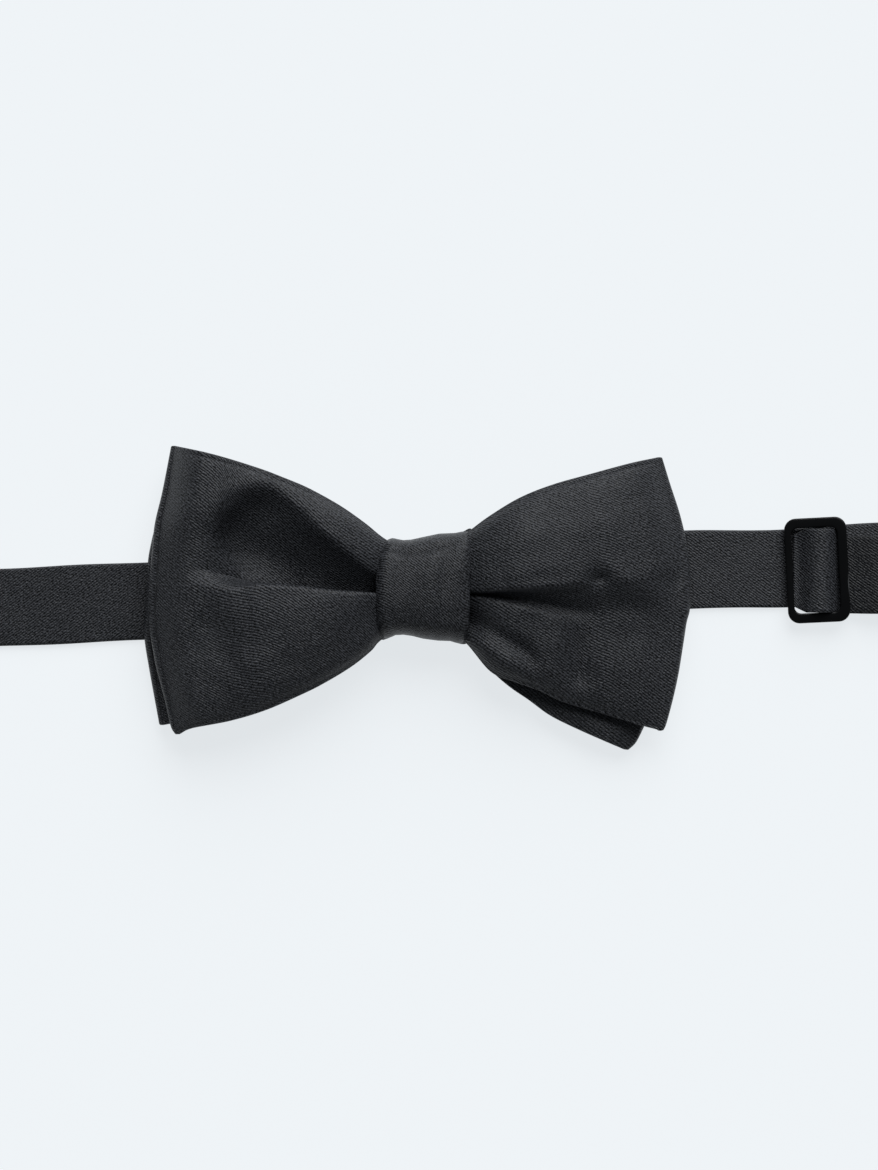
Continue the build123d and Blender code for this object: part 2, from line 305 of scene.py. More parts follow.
def satin(name, base=(0.0004, 0.0005, 0.0007), light=(0.0880, 0.0915, 0.1030), pitch=0.54, angle=-60.0, rough=0.40):
    m, nt, b = nodes_of(name)
    L = nt.links.new
    uv = nt.nodes.new("ShaderNodeUVMap")
    uv.uv_map = "cloth_mm"
    # diagonal twill wales
    rot = nt.nodes.new("ShaderNodeMapping")
    rot.inputs["Rotation"].default_value = (0, 0, math.radians(angle))
    L(uv.outputs["UV"], rot.inputs["Vector"])
    wob = nt.nodes.new("ShaderNodeTexNoise")
    wob.inputs["Scale"].default_value = 0.35
    wob.inputs["Detail"].default_value = 2
    L(uv.outputs["UV"], wob.inputs["Vector"])
    wave = nt.nodes.new("ShaderNodeTexWave")
    wave.wave_type = "BANDS"
    wave.bands_direction = "X"
    wave.wave_profile = "SIN"
    wave.inputs["Scale"].default_value = 0.314 / pitch
    wave.inputs["Distortion"].default_value = 1.6
    wave.inputs["Detail"].default_value = 1.0
    wave.inputs["Detail Scale"].default_value = 1.6
    L(rot.outputs["Vector"], wave.inputs["Vector"])
    # threads lying across the wales
    thr = nt.nodes.new("ShaderNodeTexNoise")
    thr.inputs["Scale"].default_value = 1.0
    thr.inputs["Detail"].default_value = 1.5
    thr.inputs["Roughness"].default_value = 0.6
    st = nt.nodes.new("ShaderNodeMapping")
    st.inputs["Scale"].default_value = (1.75, 2.2, 1)
    L(uv.outputs["UV"], st.inputs["Vector"])
    L(st.outputs["Vector"], thr.inputs["Vector"])
    # colour
    mix = nt.nodes.new("ShaderNodeMix")
    mix.data_type = "RGBA"
    mix.inputs[6].default_value = (*base, 1)
    mix.inputs[7].default_value = (*light, 1)
    add = nt.nodes.new("ShaderNodeMath")
    add.operation = "MULTIPLY_ADD"
    L(thr.outputs["Fac"], add.inputs[0])
    add.inputs[1].default_value = 2.6
    wv = nt.nodes.new("ShaderNodeMath")
    wv.operation = "MULTIPLY"
    wv.inputs[1].default_value = 0.75
    L(wave.outputs["Fac"], wv.inputs[0])
    L(wv.outputs["Value"], add.inputs[2])
    mr = nt.nodes.new("ShaderNodeMapRange")
    mr.inputs["From Min"].default_value = 1.20
    mr.inputs["From Max"].default_value = 2.75
    L(add.outputs["Value"], mr.inputs["Value"])
    L(mr.outputs["Result"], mix.inputs["Factor"])
    # lint
    vor = nt.nodes.new("ShaderNodeTexVoronoi")
    vor.inputs["Scale"].default_value = 0.55
    vor.inputs["Randomness"].default_value = 1.0
    L(uv.outputs["UV"], vor.inputs["Vector"])
    ln = nt.nodes.new("ShaderNodeMapRange")
    ln.inputs["From Min"].default_value = 0.045
    ln.inputs["From Max"].default_value = 0.02
    L(vor.outputs["Distance"], ln.inputs["Value"])
    big = nt.nodes.new("ShaderNodeTexNoise")
    big.inputs["Scale"].default_value = 0.21
    L(uv.outputs["UV"], big.inputs["Vector"])
    th = nt.nodes.new("ShaderNodeMapRange")
    th.inputs["From Min"].default_value = 0.52
    th.inputs["From Max"].default_value = 0.60
    L(big.outputs["Fac"], th.inputs["Value"])
    lm = nt.nodes.new("ShaderNodeMath")
    lm.operation = "MULTIPLY"
    L(ln.outputs["Result"], lm.inputs[0])
    L(th.outputs["Result"], lm.inputs[1])
    mix2 = nt.nodes.new("ShaderNodeMix")
    mix2.data_type = "RGBA"
    L(lm.outputs["Value"], mix2.inputs["Factor"])
    L(mix.outputs[2], mix2.inputs[6])
    mix2.inputs[7].default_value = (0.11, 0.11, 0.115, 1)
    L(mix2.outputs[2], b.inputs["Base Color"])
    # roughness varies with the weave
    rr = nt.nodes.new("ShaderNodeMapRange")
    rr.inputs["To Min"].default_value = rough - 0.05
    rr.inputs["To Max"].default_value = rough + 0.12
    L(thr.outputs["Fac"], rr.inputs["Value"])
    L(rr.outputs["Result"], b.inputs["Roughness"])
    # relief
    bump = nt.nodes.new("ShaderNodeBump")
    bump.inputs["Strength"].default_value = 1.0
    bump.inputs["Distance"].default_value = 0.00009
    L(add.outputs["Value"], bump.inputs["Height"])
    soft = nt.nodes.new("ShaderNodeTexNoise")
    soft.inputs["Scale"].default_value = 0.16
    soft.inputs["Detail"].default_value = 3
    L(uv.outputs["UV"], soft.inputs["Vector"])
    bump2 = nt.nodes.new("ShaderNodeBump")
    bump2.inputs["Strength"].default_value = 0.35
    bump2.inputs["Distance"].default_value = 0.0005
    L(soft.outputs["Fac"], bump2.inputs["Height"])
    L(bump.outputs["Normal"], bump2.inputs["Normal"])
    L(bump2.outputs["Normal"], b.inputs["Normal"])
    b.inputs["Sheen Weight"].default_value = 0.02
    b.inputs["Sheen Roughness"].default_value = 0.35
    b.inputs["Sheen Tint"].default_value = (0.82, 0.87, 1.0, 1)
    b.inputs["Specular IOR Level"].default_value = 0.26
    return m


def enamel(name, base=(0.018, 0.019, 0.021), rough=0.36):
    m, nt, b = nodes_of(name)
    L = nt.links.new
    tc = nt.nodes.new("ShaderNodeTexCoord")
    a = nt.nodes.new("ShaderNodeTexNoise")
    a.inputs["Scale"].default_value = 900
    a.inputs["Detail"].default_value = 4
    L(tc.outputs["Object"], a.inputs["Vector"])
    w = nt.nodes.new("ShaderNodeTexNoise")
    w.inputs["Scale"].default_value = 110
    w.inputs["Detail"].default_value = 3
    L(tc.outputs["Object"], w.inputs["Vector"])
    cr = nt.nodes.new("ShaderNodeMix")
    cr.data_type = "RGBA"
    cr.inputs[6].default_value = (*base, 1)
    cr.inputs[7].default_value = (base[0] * 1.7, base[1] * 1.7, base[2] * 1.75, 1)
    L(w.outputs["Fac"], cr.inputs["Factor"])
    # painted highlight: the sharpest edges (found by pointiness, broken up by noise) are lightened in the base colour
    # in place of their bright reflections
    geo = nt.nodes.new("ShaderNodeNewGeometry")
    edge_highlight_mask = nt.nodes.new("ShaderNodeMapRange")
    edge_highlight_mask.inputs["From Min"].default_value = 0.54
    edge_highlight_mask.inputs["From Max"].default_value = 0.62
    L(geo.outputs["Pointiness"], edge_highlight_mask.inputs["Value"])
    edge_highlight_amount = nt.nodes.new("ShaderNodeMath")
    edge_highlight_amount.operation = "MULTIPLY"
    L(edge_highlight_mask.outputs["Result"], edge_highlight_amount.inputs[0])
    L(a.outputs["Fac"], edge_highlight_amount.inputs[1])
    painted_edge_highlight = nt.nodes.new("ShaderNodeMix")
    painted_edge_highlight.data_type = "RGBA"
    L(edge_highlight_amount.outputs["Value"], painted_edge_highlight.inputs["Factor"])
    L(cr.outputs[2], painted_edge_highlight.inputs[6])
    painted_edge_highlight.inputs[7].default_value = (0.16, 0.165, 0.17, 1)
    L(painted_edge_highlight.outputs[2], b.inputs["Base Color"])
    r = nt.nodes.new("ShaderNodeMapRange")
    r.inputs["To Min"].default_value = rough - 0.08
    r.inputs["To Max"].default_value = rough + 0.10
    L(w.outputs["Fac"], r.inputs["Value"])
    L(r.outputs["Result"], b.inputs["Roughness"])
    bp = nt.nodes.new("ShaderNodeBump")
    bp.inputs["Strength"].default_value = 0.085
    bp.inputs["Distance"].default_value = 0.00003
    L(a.outputs["Fac"], bp.inputs["Height"])
    L(bp.outputs["Normal"], b.inputs["Normal"])
    b.inputs["Specular IOR Level"].default_value = 0.15
    b.inputs["Coat Weight"].default_value = 0.02
    b.inputs["Coat Roughness"].default_value = 0.22
    return m


def thread_mat(name):
    m, nt, b = nodes_of(name)
    L = nt.links.new
    tc = nt.nodes.new("ShaderNodeTexCoord")
    w = nt.nodes.new("ShaderNodeTexWave")
    w.bands_direction = "DIAGONAL"
    w.inputs["Scale"].default_value = 900
    w.inputs["Distortion"].default_value = 0.6
    L(tc.outputs["Object"], w.inputs["Vector"])
    mx = nt.nodes.new("ShaderNodeMix")
    mx.data_type = "RGBA"
    mx.inputs[6].default_value = (0.012, 0.012, 0.014, 1)
    mx.inputs[7].default_value = (0.055, 0.056, 0.062, 1)
    L(w.outputs["Fac"], mx.inputs["Factor"])
    L(mx.outputs[2], b.inputs["Base Color"])
    bp = nt.nodes.new("ShaderNodeBump")
    bp.inputs["Strength"].default_value = 0.5
    bp.inputs["Distance"].default_value = 0.00006
    L(w.outputs["Fac"], bp.inputs["Height"])
    L(bp.outputs["Normal"], b.inputs["Normal"])
    b.inputs["Roughness"].default_value = 0.6
    b.inputs["Sheen Weight"].default_value = 0.3
    return m


def lining_mat(name):
    m, nt, b = nodes_of(name)
    L = nt.links.new
    tc = nt.nodes.new("ShaderNodeTexCoord")
    br = nt.nodes.new("ShaderNodeTexBrick")
    br.inputs["Scale"].default_value = 1400
    br.inputs["Color1"].default_value = (0.0279, 0.0270, 0.0248, 1)
    br.inputs["Color2"].default_value = (0.0248, 0.0238, 0.0221, 1)
    br.inputs["Mortar"].default_value = (0.0150, 0.0145, 0.0135, 1)
    L(tc.outputs["Object"], br.inputs["Vector"])
    L(br.outputs["Color"], b.inputs["Base Color"])
    bp = nt.nodes.new("ShaderNodeBump")
    bp.inputs["Strength"].default_value = 0.4
    bp.inputs["Distance"].default_value = 0.0001
    L(br.outputs["Fac"], bp.inputs["Height"])
    L(bp.outputs["Normal"], b.inputs["Normal"])
    b.inputs["Roughness"].default_value = 0.9
    b.inputs["Sheen Weight"].default_value = 0.2
    return m


SATIN = satin("satin_twill")
SATIN_BAND = satin("satin_twill_band", angle=-52.0)
SATIN_KNOT = satin("satin_twill_knot", light=(0.0790, 0.0820, 0.0920), pitch=0.45, angle=40.0)
# A darker copy of the band satin: painted shade for the returning strap where it runs into the slider's shadow.
SATIN_RETURN_PAINTED_SHADE = satin("satin_twill_return_painted_shade", light=(0.0400, 0.0415, 0.0465), angle=-52.0)
ENAMEL = enamel("black_enamel", base=(0.0026, 0.0027, 0.0029), rough=0.24)
ENAMEL_HOOK = enamel("black_enamel_hook", rough=0.4)
THREAD = thread_mat("twisted_thread")
LINING = lining_mat("woven_interlining")

# ---------------------------------------------------------------- the bows

F_T = 0.8


def lobe(side, top, bottom, knot_top, knot_bot, tip, z_edge, puff, z_low, feats, nu, nv, seed, wrinkle, crease=None, lean=0.0):
    """Upper and lower surfaces of one side of a looped bow, from the knot out to the tip."""
    T = resample([knot_top] + top, nu)
    B = resample([knot_bot] + bottom, nu)
    E = resample(tip, nv)
    K = resample([knot_bot, knot_top], nv, smooth=False)
    u = np.linspace(0, 1, nu)[:, None] * np.ones((1, nv))
    v = np.ones((nu, 1)) * np.linspace(0, 1, nv)[None]
    gap = np.interp(np.linspace(0, 1, nv), [0, 0.12, 0.5, 0.88, 1], [0.62, 1.05, 1.9, 1.05, 0.62])
    E_in = E.copy()
    E_in[:, 0] -= side * (gap / 1.0 + F_T / 2 - 0.2)
    ymid = (E[0, 1] + E[-1, 1]) / 2
    E_in[:, 1] = ymid + (E[:, 1] - ymid) * (1 - F_T / abs(E[-1, 1] - E[0, 1]))
    T2, B2 = T.copy(), B.copy()
    T2[:, 1] -= F_T / 2
    B2[:, 1] += F_T / 2
    # pull the last points of the borders in so that they meet the tip curve
    k = np.linspace(0, 1, nu)[:, None] ** 8
    T2 += k * (E_in[-1] - T2[-1])
    B2 += k * (E_in[0] - B2[-1])
    Q = coons(B2, T2, K, E_in)
    if crease:
        # one row of the mesh runs along the crease, and rows crowd there and at both edges
        v1 = np.linspace(0, 1, nv)
        g = 2 * v1 - 1
        g = g - 0.55 / (2 * math.pi) * np.sin(2 * math.pi * g)
        cx_, cy_ = [p[0] for p in sorted(crease)], [p[1] for p in sorted(crease)]
        for i in range(nu):
            off = Q[i, :, 1] - table(crease, Q[i, :, 0])
            vl = float(np.interp(0.0, off, v1))
            vn = np.where(g < 0, vl * (1 + g), vl + (1 - vl) * g)
            Q[i] = np.stack([np.interp(vn, v1, Q[i, :, k]) for k in range(2)], 1)
            v[i] = vn
    X, Y = Q[..., 0], Q[..., 1]
    arch = table(list(zip([0, 0.03, 0.08, 0.2, 0.5, 0.8, 0.92, 0.97, 1], [0.44, 0.66, 0.80, 0.94, 1.0, 0.94, 0.80, 0.66, 0.44])), v)
    zt = profile(z_edge, u) + profile(puff, u) * arch
    if crease:
        low_half = ease((table(crease, X) - 1.5 - Y) / 12.0)
        zt = zt - 0.9 * low_half * (1 - v) * 2 * ease(u / 0.3) * 0.5
        zt = zt + lean * ease((u - 0.45) / 0.4) * np.clip((v - 0.55) / 0.45, 0, 1)
    shift = np.zeros_like(X)
    for f in feats:
        if f[0] == "lap":
            shift = shift + lap(X, Y, *f[1:])
        elif isinstance(f[0], str):
            zt = zt + {"pocket": pocket, "step": step, "hollow": hollow}[f[0]](X, Y, *f[1:])
        else:
            zt = zt + feature(X, Y, *f)
    # the pressed edge of the folded ribbon shows as a fine groove just inside the border
    if crease:
        zt = soften(zt, nv // 2, 2.6 * nu / 140, 1.6 * nv / 151)
        for vv in (v, 1 - v):
            inset = vv * np.abs(Y[:, -1] - Y[:, 0])[:, None]
            zt = zt - 0.15 * np.exp(-((inset - 0.78) / 0.30) ** 2) * np.clip((u - 0.2) / 0.2, 0, 1)
    zt = zt + wrinkle * lumps(X, Y, 9.0, seed) + wrinkle * 0.4 * lumps(X, Y, 3.6, seed + 5)
    zb = table(list(zip(*z_low)), u) - 0.25 * arch + 0.5 * wrinkle * lumps(X, Y, 11.0, seed + 9)
    g0 = 2 * np.interp(v, [0, 0.12, 0.5, 0.88, 1], [0.62, 1.05, 1.9, 1.05, 0.62])
    # near the tip the two layers converge on the turn of the loop
    kt = np.clip((u - 0.86) / 0.14, 0, 1) ** 2
    zt = zt * (1 - kt) + kt * np.minimum(zt, zb + g0)
    zt = np.maximum(zt, zb + 1.25)
    top_s = np.stack([X, Y + shift * np.clip((0.97 - u) / 0.2, 0, 1), zt], -1)
    low_s = np.stack([X, Y, zb], -1)
    turn = []
    for a in np.linspace(0, math.pi, 11)[1:-1]:
        c, s_ = math.cos(a), math.sin(a)
        mid = (top_s[-1] + low_s[-1]) / 2
        half = (top_s[-1] - low_s[-1]) / 2
        out = mid + half * c
        out[:, 0] += side * np.abs(half[:, 2]) * 1.0 * s_
        turn.append(out)
    return top_s, np.array(turn), low_s


def bow_loop(name, left, right, W_tip, mat, t):
    lt, lturn, ll = left
    rt, rturn, rl = right
    # closed run: left top (tip to knot), right top (knot to tip), turn, right low (tip to knot), left low (knot to tip), turn back
    P = np.concatenate([lt[::-1], rt, rturn, rl[::-1], ll, lturn[::-1]], 0)
    d = np.linalg.norm(np.diff(P, axis=0), axis=-1).mean(1)
    s = np.concatenate([[0], np.cumsum(d)])
    step = np.linalg.norm(np.diff(P, axis=1), axis=-1)
    W = np.concatenate([np.zeros((len(P), 1)), np.cumsum(step, 1)], 1)
    W = W - W[:, W.shape[1] // 2][:, None]
    area = 0.0
    a = P[1:, 1:] - P[:-1, :-1]
    b = P[1:, :-1] - P[:-1, 1:]
    area = np.linalg.norm(np.cross(a, b), axis=-1).sum() / 2
    print(name, "length", round(s[-1], 1), "area", round(area, 1))
    lp, lw = inward(P, W, t / 2 + 0.28, True)
    lining = shell(name.replace("satin", "lining"), lp, lw, s, 0.35, LINING, True, groove=0.0)
    return shell(name, P, W, s, t, mat, True), lining, s[-1], area


NU, NV = ((140, 151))

CREASE_L = [(-5, -2.2), (-10.6, -2.2), (-20, -1.6), (-30, -0.5), (-38.4, 1.0), (-43.6, 2.7), (-48, 3.8), (-56, 4.4), (-62, 4.4)]
CREASE_R = [(5, -0.7), (9.9, -0.75), (16.4, -0.35), (23, 0.1), (29.6, 0.5), (34.9, 1.1), (40, 1.6), (48, 1.8), (60, 1.8)]
FOLD_R = [(5, -1.9), (10.6, -2.0), (15.6, -2.7), (24, -4.2), (32, -5.9), (38, -6.6), (60, -6.6)]

front_left = lobe(
    -1,
    [(-9.34, 10.53), (-13.38, 13.82), (-18.64, 17.54), (-25.22, 21.27), (-31.36, 23.90), (-36.62, 25.88), (-45.83, 28.73), (-55.61, 31.01)],
    [(-10.09, -11.62), (-12.06, -13.82), (-16.45, -17.32), (-22.59, -21.05), (-27.41, -23.46), (-34.87, -26.75), (-42.76, -29.17), (-51.54, -30.92), (-54.82, -32.35)],
    (-5.0, 8.0), (-5.0, -8.0),
    [(-54.82, -32.35), (-55.70, -30.70), (-57.02, -24.78), (-58.77, -17.89), (-59.36, -14.69), (-60.15, -10.07), (-60.61, -5.35), (-60.46, -2.19), (-60.0, 4.04), (-59.52, 10.31), (-58.99, 14.69), (-57.46, 21.27), (-55.61, 31.01)],
    ([0, 0.07, 0.16, 0.34, 0.7, 1], [6.6, 7.0, 8.6, 10.4, 10.6, 9.2]),
    ([0, 0.07, 0.16, 0.34, 0.7, 1], [3.4, 4.0, 6.0, 7.2, 5.8, 3.4]),
    ([0, 0.15, 1], [6.9, 6.4, 6.6]),
    [
        ("pocket", CREASE_L,
         [(-5, 2.0), (-11, 3.2), (-16, 7.0), (-21.4, 11.6), (-27, 16.8), (-32, 21.2), (-35, 22.4), (-39, 22.0), (-44, 19.5), (-48, 16.0), (-54, 13)],
         [(-5, 3.4), (-10.6, 5.2), (-16, 6.8), (-22, 8.2), (-30, 8.6), (-36, 7.8), (-40, 6.4), (-43, 4.6), (-46, 2.4), (-50, 0.5), (-54, 0.0), (-62, 0.0)],
         [(-5, 1.3), (-30, 1.3), (-36, 1.8), (-42, 3.2), (-50, 4.0)]),
        ("hollow", [(-4, -40.0), (1.5, -40.5), (4.4, -43.4), (7.6, -45.9), (11.2, -46.6), (15.2, -45.2), (19.0, -41.8), (22.2, -37.6), (26, -34)],
         [(-4, 0.0), (1.5, 0.2), (4.4, 2.4), (7.6, 4.9), (11.2, 5.4), (15.2, 4.2), (19.0, 2.2), (22.0, 0.7), (25.0, 0.0)],
         [(-4, 2.6), (4.4, 2.4), (11.2, 2.4), (15.2, 3.4), (19, 5.0), (26, 6.0)], 11.5),
        ("lap", CREASE_L, [(-5, 1.7), (-30, 2.0), (-37, 1.4), (-42, 0.2), (-46, 0.0), (-60, 0.0)],
         [(-5, 1.3), (-30, 1.3), (-36, 1.8), (-42, 3.2), (-50, 4.0)], 4.2),
        ([(-8, -4.6), (-16.9, -4.8), (-23, -5.4), (-29.6, -6.0), (-38.4, -6.4), (-46, -7)],
         [0.5, 0.7, 0.8, 0.7, 0.4, 0.0], [5.0, 5.5, 6.0, 6.0, 6.0, 5.0], [2.6, 2.6, 3.0, 3.2, 3.4, 3.6], 2.0),
        ([(-9, 6.0), (-16.4, 11.4), (-21, 16.0), (-26.5, 20.8), (-33, 23.6)],
         [0.2, 0.5, 0.6, 0.5, 0.1], [4.0, 4.6, 5.0, 5.0, 5.0], [3.6, 3.6, 3.6, 3.4, 3.0], 2.0),
        ([(-46.3, -5), (-50.5, -11.5), (-54.6, -17.3)], [-0.7, -0.9, -0.4], [2.6, 2.4, 2.2], [2.0, 2.0, 2.0], 1.8),
        ([(-60.3, -5.5), (-54, -3.6), (-47, -2.4)], [-0.5, -0.35, 0.0], 0.8, 0.8, 1.5),
        ([(-60.3, -5.8), (-54, -8.2)], [-0.5, -0.1], 0.8, 0.8, 1.5),
        ([(-60.3, -5.2), (-55, 0.5)], [-0.4, -0.05], 0.8, 0.8, 1.5),
        ([(-30, -10), (-36, -17), (-40, -23)], [0.2, 0.7, 0.2], 3.4, 3.4, 2.0),
        ([(-45, -9), (-43, -15), (-40.5, -19)], [-0.2, -0.6, -0.2], 2.4, 2.4, 2.0),
        ([(-11, -7.0), (-17, -10.5), (-23, -13.2)], [-0.5, -0.4, -0.1], 2.2, 2.2, 1.8),
    ],
    NU, NV, 3.1, 0.34, crease=CREASE_L, lean=2.2)

front_right = lobe(
    1,
    [(10.53, 12.50), (14.69, 15.57), (20.83, 19.30), (27.85, 22.15), (36.18, 24.56), (44.96, 26.97), (51.97, 28.51)],
    [(9.65, -12.5), (14.69, -18.42), (19.96, -20.61), (25.22, -22.59), (29.61, -24.78), (33.99, -26.32), (40.57, -28.29), (47.59, -30.48), (51.97, -31.58)],
    (5.0, 8.0), (5.0, -8.0),
    [(51.97, -31.58), (52.63, -30.92), (54.17, -25.22), (55.48, -19.08), (56.58, -12.06), (57.24, -7.68), (57.89, -5.04), (58.03, -0.66), (57.46, 8.11), (55.92, 15.57), (53.73, 22.59), (51.97, 28.51)],
    ([0, 0.07, 0.16, 0.34, 0.7, 1], [6.6, 7.0, 8.4, 10.0, 10.2, 9.0]),
    ([0, 0.07, 0.16, 0.34, 0.7, 1], [3.4, 4.0, 5.8, 6.9, 5.4, 3.0]),
    ([0, 0.15, 1], [6.9, 6.4, 6.5]),
    [
        ("step", CREASE_R,
         [(5, 3.0), (10, 3.1), (16, 2.7), (23, 2.1), (29, 1.5), (33, 0.9), (37, 0.3), (40, 0.0), (60, 0.0)],
         [(5, 0.7), (20, 0.8), (30, 1.4), (38, 3.0), (60, 4.0)]),
        ("step", [(x, y + 0.6) for x, y in CREASE_R],
         [(5, 0.5), (10, 1.1), (16, 2.3), (23, 3.3), (29, 4.0), (35, 4.1), (42, 3.4), (48, 2.4), (60, 1.2)],
         [(5, 2.0), (16, 3.4), (24, 5.4), (32, 7.0), (42, 8.0), (60, 8.0)]),
        ("step", [(x, y + 0.75) for x, y in FOLD_R],
         [(5, -2.6), (10, -2.9), (16, -3.0), (23, -2.6), (29, -1.8), (34, -0.8), (38, 0.0), (60, 0.0)],
         [(5, 0.8), (16, 1.1), (24, 1.5), (32, 2.4), (60, 3.0)]),
        ([(35.4, 0.9), (38.0, 1.9), (40.2, 0.9)], [-0.6, -2.2, -0.6], 2.6, 1.6, 2.0),
        ([(38, 0.4), (42.5, -2.2), (47, -3.2)], [-0.4, -0.5, -0.1], 3.0, 2.4, 2.0),
        ([(12, 2.4), (22, 3.6), (33, 5.4)], [0.35, 0.5, 0.2], 2.2, 4.0, 2.0),
        ([(12.5, -7.5), (17, -10.8), (22.1, -14.0), (25, -18.5)], [-0.6, -1.2, -1.7, -0.4], 2.1, 1.7, 1.8),
        ([(32.4, -7.5), (33.1, -13), (33.6, -19.4), (34, -23.5)], [-0.3, -1.3, -1.4, -0.3], 2.3, 2.3, 1.8),
        ([(13, -12.5), (17.8, -16.2), (22, -19.4)], [0.4, 0.6, 0.1], 1.8, 1.8, 1.8),
        ([(23.5, -11.5), (26.3, -18.2), (27.5, -22.5)], [0.2, 0.55, 0.1], 1.7, 1.7, 1.8),
        ([(27.6, -6.5), (28.8, -12), (29.2, -19)], [0.3, 0.9, 0.3], 2.2, 2.2, 2.0),
        ([(48, 1.0), (54, 1.4), (58.5, 0.6)], [-0.1, -1.6, -2.6], [3.0, 4.6, 5.6], [2.0, 2.2, 2.6], 1.8),
        ([(8, -6), (11.0, -8.5), (14, -11)], [-2.2, -2.2, -0.6], 3.0, 3.0, 1.8),
        ([(12, 7), (24, 10.5), (38, 12.5)], [0.3, 0.7, 0.3], 5.5, 5.5, 2.0),
    ],
    NU, NV, 8.4, 0.24, crease=CREASE_R)

front_bow, front_lining, front_len, front_area = bow_loop("front_bow_satin", front_left, front_right, 64, SATIN, F_T)

rear_left = lobe(
    -1,
    [(-9.0, 9.2), (-13.4, 12.8), (-20.0, 17.2), (-27.0, 20.4), (-36.1, 23.8), (-45.7, 26.6), (-55.4, 28.6)],
    [(-9.6, -10.2), (-14.3, -13.8), (-20.0, -18.2), (-27.0, -22.2), (-36.1, -25.6), (-45.7, -28.4), (-55.92, -30.04), (-58.55, -30.48)],
    (-5.0, 8.0), (-5.0, -8.0),
    [(-58.55, -30.48), (-59.7, -24.0), (-60.77, -17.89), (-61.71, -11.62), (-61.86, -5.68), (-61.56, -0.66), (-61.10, 5.70), (-60.15, 10.31), (-59.0, 15.0), (-57.2, 21.5), (-55.4, 28.6)],
    ([0, 0.1, 0.5, 1], [4.0, 4.0, 4.5, 4.5]),
    ([0, 0.1, 0.5, 1], [1.2, 1.3, 1.0, 0.9]),
    ([0, 0.12, 1], [2.75, 2.5, 2.6]),
    [],
    NU, NV, 14.2, 0.16)

rear_right = lobe(
    1,
    [(9.2, 9.6), (14.3, 13.4), (20.0, 17.0), (27.0, 19.8), (36.0, 22.4), (44.0, 24.6), (50.5, 26.4)],
    [(9.65, -12.50), (14.25, -17.76), (18.64, -21.71), (23.03, -24.78), (27.85, -28.29), (33.99, -31.36), (40.57, -34.21), (44.96, -35.96)],
    (5.0, 8.0), (5.0, -8.0),
    [(44.96, -35.96), (46.49, -34.43), (48.25, -30.92), (51.0, -25.0), (53.6, -16.0), (55.0, -8.0), (55.4, 0.0), (54.6, 10.0), (52.6, 19.0), (50.5, 26.4)],
    ([0, 0.1, 0.5, 1], [4.0, 4.0, 4.4, 4.3]),
    ([0, 0.1, 0.5, 1], [1.2, 1.3, 1.0, 0.9]),
    ([0, 0.12, 1], [2.75, 2.4, 2.4]),
    [([(24, -21), (34, -28), (43, -33)], [0.2, 0.5, 0.3], 2.5, 2.5, 2.0)],
    NU, NV, 19.7, 0.16)

rear_bow, rear_lining, rear_len, rear_area = bow_loop("rear_bow_satin", rear_left, rear_right, 62, SATIN, F_T)

for ob, node, sl in ((front_bow, "front_bow_cover", "satin"), (rear_bow, "rear_bow_cover", "satin"),
                     (front_lining, "front_bow_interlining", "interlining"),
                     (rear_lining, "rear_bow_interlining", "interlining")):
    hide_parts(node)
    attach(ob, "bow")

# ---------------------------------------------------------------- the knot

K_T = 1.3
kn_top = [(-10.3, 9.6), (-9.0, 10.5), (-8.3, 10.8), (-7.3, 10.6), (-5.55, 10.3), (-3.53, 10.45), (-1.0, 11.0), (2.76, 11.75), (6.5, 11.9), (8.55, 12.28), (9.8, 12.94), (10.5, 12.9)]
kn_bot = [(-10.3, -11.6), (-9.5, -11.7), (-8.57, -11.4), (-6.6, -10.6), (-4.5, -10.5), (-2.3, -10.8), (0.2, -11.4), (3.5, -11.8), (6.5, -11.9), (8.3, -12.4), (9.3, -12.65), (10.4, -12.6)]
kn_left = [(-12, -10.0), (-11.62, -10.09), (-8.55, -10.31), (-3.51, -10.59), (1.54, -10.59), (6.49, -10.09), (10.53, -9.08), (13, -8.7)]
kn_right = [(-13, 9.1), (-12.39, 9.19), (-8.55, 9.43), (-3.51, 9.80), (1.45, 9.69), (8.99, 10.07), (12.79, 10.44), (14, 10.5)]
n_a = 220
n_x = 64
P = np.zeros((n_a, n_x, 3))
W = np.zeros((n_a, n_x))
xs = np.linspace(-1, 1, n_x)
